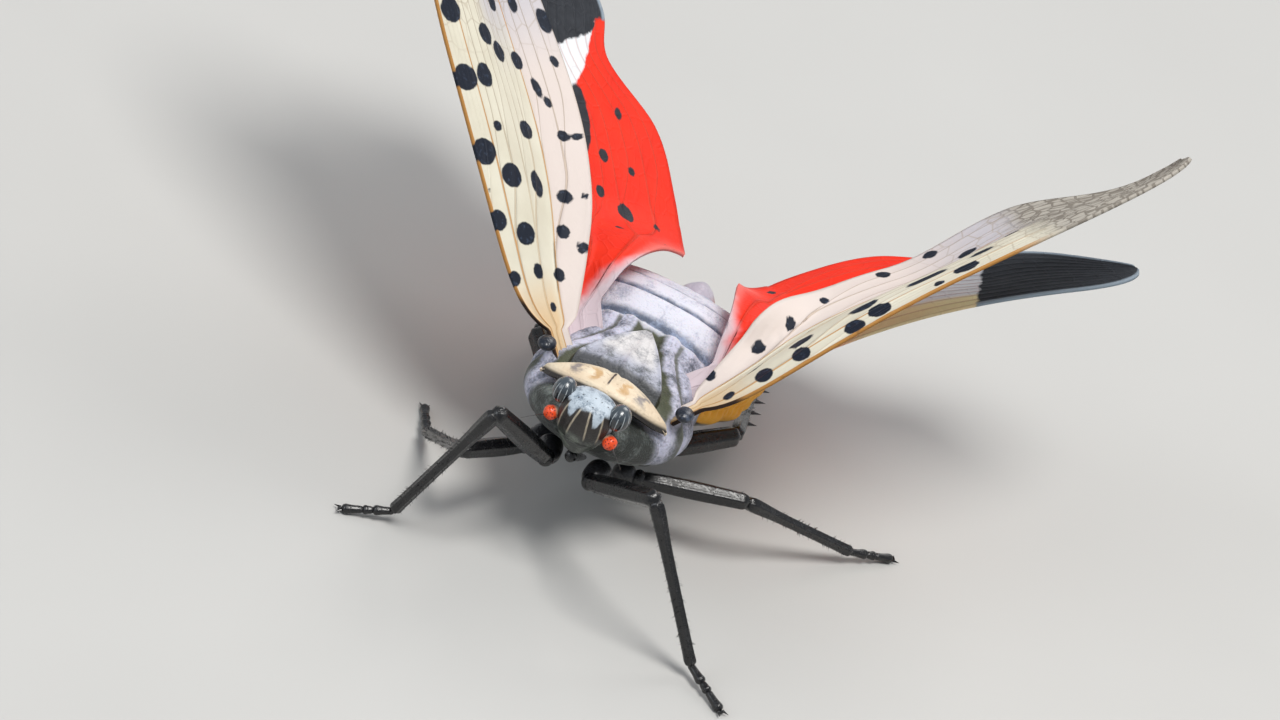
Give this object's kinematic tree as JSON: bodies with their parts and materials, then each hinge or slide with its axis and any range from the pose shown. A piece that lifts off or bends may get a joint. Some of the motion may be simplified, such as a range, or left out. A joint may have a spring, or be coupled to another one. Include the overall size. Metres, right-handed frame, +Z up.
{
  "type": "spotted lanternfly",
  "caption": "Life-size still model of an adult spotted lanternfly standing on its legs with spotted forewings and red hindwings spread.",
  "frame": {"origin": "on the floor under the middle of the insect's overall extent, soles at z = 0", "axes": "+X towards the insect's left side, -Y the way its head faces, +Z up"},
  "size_m": [0.0306, 0.023, 0.0186],
  "materials": {
    "shell": "satin grey-lavender plates",
    "pronotum": "satin tan plate",
    "flesh": "matt waxy pale grey",
    "abdomen": "matt waxy bands over yellow",
    "tip": "satin red-brown",
    "eye": "glossy blue-black",
    "antenna": "satin orange-red",
    "leg": "glossy black",
    "forewing": "satin cream with dark spots",
    "hindwing": "satin red, white and black"
  },
  "bodies": {
    "root": {"head": "shell", "eye_right": "eye", "antenna_right": "antenna", "eye_left": "eye", "antenna_left": "antenna", "beak": "leg", "pronotum": "pronotum", "mesonotum": "shell", "prothorax": "flesh", "mesothorax": "flesh", "metathorax": "flesh", "tegula_right": "leg", "tegula_left": "leg", "abdomen": "abdomen", "ovipositor": "tip", "forewing_right": "forewing", "hindwing_right": "hindwing", "forewing_left": "forewing", "hindwing_left": "hindwing", "coxa_fore_right": "shell", "femur_fore_right": "leg", "tibia_fore_right": "leg", "tarsus_fore_right": "leg", "coxa_fore_left": "shell", "femur_fore_left": "leg", "tibia_fore_left": "leg", "tarsus_fore_left": "leg", "coxa_mid_right": "shell", "femur_mid_right": "leg", "tibia_mid_right": "leg", "tarsus_mid_right": "leg", "coxa_mid_left": "shell", "femur_mid_left": "leg", "tibia_mid_left": "leg", "tarsus_mid_left": "leg", "coxa_hind_right": "shell", "femur_hind_right": "leg", "tibia_hind_right": "leg", "tarsus_hind_right": "leg", "coxa_hind_left": "shell", "femur_hind_left": "leg", "tibia_hind_left": "leg", "tarsus_hind_left": "leg"}
  },
  "joints": []
}
